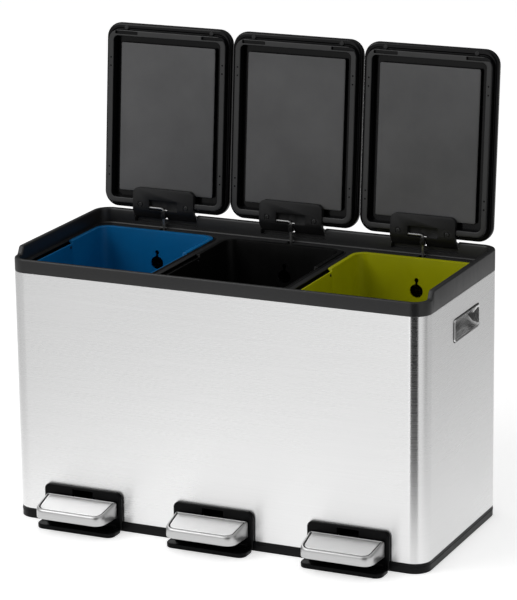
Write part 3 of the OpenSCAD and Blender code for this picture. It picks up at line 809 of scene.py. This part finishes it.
def make_rod(side):
    """Wire hooked sideways into the bracket's window, cranked and then straight down."""
    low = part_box(f"lift_rod_{side}")[0]
    joint = JOINTS[f"rod_{side}_hook"]["pos_m"]
    r = 1.9 * MM
    x, y, z = joint
    corners = [(low.x + 0.2 * MM, y, z), (x, y, z), (x, y - 0.6 * MM, z - 14 * MM), (x, y, z - 30 * MM),
               (x, y, low.z)]
    path = rounded_path(corners, [0, 5 * MM, 3 * MM, 3 * MM, 0], 6)
    wire = rod_mesh(f"wire_of_rod_{side}", path, r)
    place(wire, f"rod_{side}", STEEL_WIRE, "wire_steel", f"lift_rod_{side}")
    clip_low, clip_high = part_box(f"rod_clip_{side}")
    clip = block("clip", clip_low, clip_high)
    middle = (clip_low + clip_high) / 2
    groove = 0.5 * MM
    waist = block("cutter", (clip_low.x - groove, clip_low.y - groove, middle.z - groove),
                  (clip_low.x + groove, clip_high.y + groove, middle.z + groove))
    boolean(clip, [waist])
    bevel(clip, 0.4 * MM, 2)
    place(clip, f"rod_{side}", PLASTIC_CLIP, "clip_black", f"rod_clip_{side}")


# ---- Buckets ----

def make_bucket(side):
    """Drafted bucket: rolled flange behind, a lower edge in front, a keyhole and pivot holes."""
    low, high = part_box(f"bucket_{side}")
    x = BAY_X[side]
    flange = 4.5 * MM
    half = (high.x - low.x) / 2 - flange
    y0 = low.y
    y1 = high.y - flange
    draft = 7 * MM
    wall = 2.2 * MM
    z0 = low.z
    z1 = high.z
    r = 17 * MM

    ys = [(7.2 + 0.3 * k) * MM for k in range(5)]

    def behind(y):
        """0 in the front half, 1 in the rear half."""
        return smooth_step(y, ys[0], ys[-1])

    def loop(inset, z_of, flare=0):
        """A loop of the bucket's wall, pushed out by flare in its rear half."""
        near, far = (outline(x - half + d, x + half - d, y0 + d, y1 - d, max(r - d * 0.5, 2 * MM), 10, ys)
                     for d in (inset, inset - flare))
        points = []
        for a, b in zip(near, far):
            k = behind(a[1])
            z = z_of(a[1]) if callable(z_of) else z_of
            points.append((a[0] + (b[0] - a[0]) * k, a[1] + (b[1] - a[1]) * k, z))
        return points

    def rim(drop):
        return lambda y: z1 - drop - 4 * MM * (1 - behind(y))

    loops = [
        loop(draft + 5 * MM, z0), loop(draft + 1.2 * MM, z0 + 0.8 * MM), loop(draft, z0 + 4 * MM),
        loop(0.3 * MM, rim(9 * MM)),
        loop(0, rim(2.6 * MM)), loop(0, rim(2.0 * MM), flange - 0.6 * MM), loop(0, rim(1.6 * MM), flange),
        loop(0, rim(0.5 * MM), flange), loop(0, rim(0.1 * MM), flange - 0.5 * MM),
        loop(0.4 * MM, rim(0), 0.6 * MM), loop(wall * 0.6, rim(0.0)), loop(wall * 0.9, rim(0.4 * MM)),
        loop(wall, rim(1.6 * MM)),
        loop(draft + wall, z0 + 8 * MM), loop(draft + wall + 1.5 * MM, z0 + 4 * MM),
        loop(draft + wall + 6 * MM, z0 + 2.5 * MM),
    ]
    bucket = loft(f"bin_{side}", loops)
    big = 9.75 * MM
    small = 3.25 * MM
    key_z = z1 - 47 * MM
    turn = Matrix.Rotation(math.pi / 2, 4, "X")
    there = Matrix.Translation((x, y1 + 9 * MM, key_z)) @ turn
    cutters = [
        moved(disc("cutter", (0, 0, 0), big, 24 * MM, 0.1 * MM, 40), there),
        moved(disc("cutter", (0, 15.5 * MM, 0), small, 24 * MM, 0.1 * MM, 24), there),
        moved(block("cutter", (-2 * MM, 5 * MM, 0), (2 * MM, 14 * MM, 24 * MM)), there),
    ]
    pivot = JOINTS[f"bail_{side}_pivot"]["pos_m"]
    ends = [(x + side_of * (half + 9 * MM), pivot[1], pivot[2]) for side_of in (-1, 1)]
    bar = rod_mesh("cutter", ends, 1.9 * MM, 20)
    boolean(bucket, cutters + [bar])
    place(bucket, f"bucket_{side}", BUCKETS[side], BUCKET_SLOTS[side], f"bucket_{side}")


def make_bail(side):
    """Coated wire handle with bent ends, folded forwards round its bucket."""
    low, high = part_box(f"bail_handle_{side}")
    r = 1.75 * MM
    pivot = JOINTS[f"bail_{side}_pivot"]["pos_m"]
    x0 = low.x + r
    x1 = high.x - r
    y0 = low.y + r
    y = pivot[1]
    z = pivot[2]
    reach = 5.5 * MM
    corners = [(x0 + reach, y, z), (x0, y, z), (x0, y0, z), (x1, y0, z), (x1, y, z), (x1 - reach, y, z)]
    path = rounded_path(corners, [0, 3 * MM, 14 * MM, 14 * MM, 3 * MM, 0], 8)
    place(rod_mesh(f"wire_of_bail_{side}", path, r), f"bail_{side}", WIRE_BLACK, "wire_black",
          f"bail_handle_{side}")


# ---- Pedals ----

def pedal_outline(side, inset):
    """A pedal from above: straight behind, a little narrower in front, round front corners."""
    low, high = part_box(f"pedal_cap_{side}")
    x = BAY_X[side]
    rear = (high.x - low.x) / 2 - inset
    front = rear - 3 * MM
    r = 15 * MM
    y1 = high.y - inset * 0.5
    y0 = low.y + inset
    path = rounded_path([(-rear, y1), (-front, y0), (front, y0), (rear, y1)],
                        [1 * MM, r - inset, r - inset, 1 * MM], 8, closed=True)
    return [(x + p.x, p.y) for p in path]


def make_pedal(side):
    """Pressed steel cap: a skirt, a polished bevel and a brushed panel let into its sloping top. The skirt
    and bevel are painted darker than the panel, as painted shade.
    """
    low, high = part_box(f"pedal_cap_{side}")
    front_top = 35 * MM

    def top(y):
        return front_top + (high.z - front_top) * (y - low.y) / (high.y - low.y)

    def loop(inset, drop=None, z=None):
        return [(px, py, z if z is not None else top(py) - drop) for px, py in pedal_outline(side, inset)]

    skirt = [loop(1.6 * MM, z=low.z + 1 * MM), loop(1.2 * MM, z=low.z), loop(0.3 * MM, z=low.z),
             loop(0, z=low.z + 0.6 * MM), loop(0, drop=3.2 * MM), loop(0.25 * MM, drop=2.2 * MM),
             loop(0.9 * MM, drop=0.9 * MM), loop(1.7 * MM, drop=0.2 * MM), loop(2.4 * MM, drop=0),
             loop(3.1 * MM, drop=0), loop(3.5 * MM, drop=0.3 * MM), loop(3.6 * MM, drop=2.0 * MM),
             loop(6.6 * MM, drop=2.6 * MM)]
    shell = loft(f"cap_of_pedal_{side}", skirt)
    # The skirt and bevel take the darker steel: painted shade.
    place(shell, f"pedal_{side}", STEEL_PEDAL_RIM_PAINTED_SHADE, "pedal_steel", f"pedal_cap_{side}", sharp=50)
    plate = [loop(5.3 * MM, drop=2.3 * MM), loop(5.3 * MM, drop=0.7 * MM), loop(5.6 * MM, drop=0.35 * MM),
             loop(9 * MM, drop=0.35 * MM)]
    place(loft(f"tread_of_pedal_{side}", plate), f"pedal_{side}", STEEL_PEDAL, "pedal_steel")


def make_surround(side):
    """Moulded plate behind a pedal, with a foot plate and a slot for the lever."""
    low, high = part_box(f"pedal_surround_{side}")
    x0, x1 = low.x, high.x
    x = BAY_X[side]
    plate = prism("plate", outline(x0, x1, low.z, high.z, 8 * MM), 0, 5.7 * MM)
    moved(plate, Matrix.Translation((0, high.y, 0)) @ Matrix.Rotation(math.pi / 2, 4, "X"))
    bevel(plate, 1.8 * MM, 3)
    slot = block("cutter", (x - 16 * MM, -HALF_D - 20 * MM, 24 * MM),
                 (x + 16 * MM, -HALF_D + 5 * MM, SLOT_TOP))
    boolean(plate, [slot])
    foot = prism("foot", outline(x0, x1, low.y, high.y - 0.5 * MM, 11 * MM), low.z, low.z + 7 * MM)
    bevel(foot, 1.4 * MM, 3)
    fillet_points = rounded_path([(high.y - 5.9 * MM, 13 * MM), (high.y - 5.9 * MM, 6.9 * MM),
                                  (high.y - 13 * MM, 6.9 * MM)], [0, 5 * MM, 0], 5)
    fillet_points = [(p.x, p.y) for p in fillet_points] + [(high.y - 5 * MM, 5 * MM)]
    fillet = prism("fillet", fillet_points, x0 + 8 * MM, x1 - 8 * MM)
    moved(fillet, Matrix(((0, 0, 1, 0), (1, 0, 0, 0), (0, 1, 0, 0), (0, 0, 0, 1))))
    place(join(f"surround_of_pedal_{side}", [plate, foot, fillet]), "cabinet", PLASTIC_SURROUND,
          "surround_black", f"pedal_surround_{side}")


# ---- CAD nodes that stay ----

def keep(node, material, sharp=30):
    """Gives a CAD node that stays visible its material."""
    obj = frame["nodes"][node]
    obj.data.materials.clear()
    obj.data.materials.append(material)
    obj.data.polygons.foreach_set("use_smooth", [True] * len(obj.data.polygons))
    obj.data.set_sharp_from_angle(angle=math.radians(sharp))


def keep_nodes():
    keep("base_tray", PLASTIC_BASE)
    keep("bucket_shelf", PLASTIC_SHELF)
    keep("anti_slip_pads", RUBBER)
    keep("base_screws", STEEL_FIXING)
    for s in SIDES:
        keep(f"lever_pin_{s}", STEEL_FIXING)
        keep(f"hinge_pins_{s}", STEEL_FIXING)
        keep(f"lid_bumpers_{s}", RUBBER)
        keep(f"rod_foot_{s}", PLASTIC_CLIP)
        keep(f"pedal_lever_{s}", PAINT_LEVER)
        keep(f"pedal_core_{s}", PLASTIC_SURROUND)


# ---- Studio ----

def make_world():
    """Soft boxes all round: white on the left, dark behind the camera and behind the object."""
    world = bpy.data.worlds.new("studio")
    bpy.context.scene.world = world
    world.use_nodes = True
    nodes = world.node_tree.nodes
    links = world.node_tree.links
    direction = nodes.new("ShaderNodeTexCoord")
    parts = nodes.new("ShaderNodeSeparateXYZ")
    links.new(direction.outputs["Generated"], parts.inputs["Vector"])
    back = nodes.new("ShaderNodeMath")
    back.operation = "MULTIPLY"
    back.inputs[1].default_value = -1
    links.new(parts.outputs["Y"], back.inputs[0])
    heading = nodes.new("ShaderNodeMath")
    heading.operation = "ARCTAN2"
    links.new(parts.outputs["X"], heading.inputs[0])
    links.new(back.outputs["Value"], heading.inputs[1])
    around = spread(nodes, links, heading.outputs["Value"], 0, 1, -math.pi, math.pi)
    ramp = nodes.new("ShaderNodeValToRGB")
    links.new(around, ramp.inputs["Fac"])
    # Degrees from straight in front towards the right, and how bright it is there.
    stops = ((-178, 0.02), (-150, 0.03), (-115, 0.5), (-60, 0.55), (-36, 0.58), (-26, 0.75), (-16, 1.2),
             (-11, 1.3), (-6, 0.0), (38, 0.0), (47, 0.85), (70, 0.72), (98, 0.28), (125, 0.5), (145, 0.1),
             (170, 0.02))
    elements = ramp.color_ramp.elements
    while len(elements) > 1:
        elements.remove(elements[-1])
    for i, (degrees, value) in enumerate(stops):
        element = elements.new((degrees + 180) / 360)
        element.color = (value, value, value, 1)
        if i == 0:
            elements.remove(elements[0])
    up = nodes.new("ShaderNodeMix")
    up.data_type = "RGBA"
    up.inputs["B"].default_value = (0.6, 0.6, 0.6, 1)
    links.new(spread(nodes, links, parts.outputs["Z"], 0, 1, 0.45, 0.8), up.inputs["Factor"])
    links.new(ramp.outputs["Color"], up.inputs["A"])
    background = nodes["Background"]
    background.inputs["Strength"].default_value = 1.0
    # The boxes are seen only as reflections; looked at directly, the backdrop is plain.
    rays = nodes.new("ShaderNodeLightPath")
    backdrop = nodes.new("ShaderNodeMix")
    backdrop.data_type = "RGBA"
    backdrop.inputs["B"].default_value = (0.8, 0.8, 0.8, 1)
    links.new(rays.outputs["Is Camera Ray"], backdrop.inputs["Factor"])
    links.new(up.outputs["Result"], backdrop.inputs["A"])
    links.new(backdrop.outputs["Result"], background.inputs["Color"])


def make_stage():
    """A pale floor that ends in front of the object and glows, with painted shade towards its sides, and a
    soft key light.
    """
    floor = turned("floor", (-20, 20, -0.5, 40, 0.2), [(0, -0.02), (0, 0)], arc=6)
    moved(floor, Matrix.Rotation(math.radians(VIEW_TURN), 4, "Z"))
    material, nodes, links, shader = new_material("floor_pale")
    coordinates = nodes.new("ShaderNodeTexCoord")
    turned_coordinates = nodes.new("ShaderNodeMapping")
    turned_coordinates.inputs["Rotation"].default_value = (0, 0, math.radians(-VIEW_TURN))
    across = nodes.new("ShaderNodeSeparateXYZ")
    distance = nodes.new("ShaderNodeMath")
    distance.operation = "ABSOLUTE"
    links.new(coordinates.outputs["Object"], turned_coordinates.inputs["Vector"])
    links.new(turned_coordinates.outputs["Vector"], across.inputs["Vector"])
    links.new(across.outputs["X"], distance.inputs[0])
    widening = nodes.new("ShaderNodeMath")
    widening.operation = "MULTIPLY_ADD"
    widening.inputs[1].default_value = -0.12
    links.new(across.outputs["Y"], widening.inputs[0])
    links.new(distance.outputs["Value"], widening.inputs[2])
    # Painted light: the floor glows by its own emission and is painted white in a wedge that widens behind
    # the object, with painted shade grading it to grey at its sides.
    painted_glow_falloff = widening.outputs["Value"]
    near, far = 0.38, 1.0
    colour = tinted(nodes, links, painted_glow_falloff, (0.9, 0.9, 0.9), (0.5, 0.5, 0.5), near, far)
    links.new(colour, shader.inputs["Base Color"])
    links.new(spread(nodes, links, painted_glow_falloff, 0.52, 0.27, near, far), shader.inputs["Emission Strength"])
    shader.inputs["Roughness"].default_value = 0.9
    shader.inputs["Specular IOR Level"].default_value = 0.0
    shader.inputs["Emission Color"].default_value = (1, 1, 1, 1)
    floor.data.materials.append(material)

    data = bpy.data.lights.new("key", "AREA")
    data.shape = "RECTANGLE"
    data.size = 2.4
    data.size_y = 2.0
    data.energy = 45
    light = bpy.data.objects.new("key", data)
    bpy.context.scene.collection.objects.link(light)
    light.location = (-2.4, -2.2, 3.0)
    light.rotation_euler = (Vector((0, 0, 0.3)) - light.location).to_track_quat("-Z", "Y").to_euler()
    bpy.context.scene.view_settings.view_transform = "Standard"


make_wrap()
make_rim()
make_base_bead()
for grip_side in GRIPS:
    make_grip(grip_side)
make_lids()
for bay in SIDES:
    make_rod(bay)
    make_bucket(bay)
    make_bail(bay)
    make_pedal(bay)
    make_surround(bay)
keep_nodes()
make_world()
make_stage()
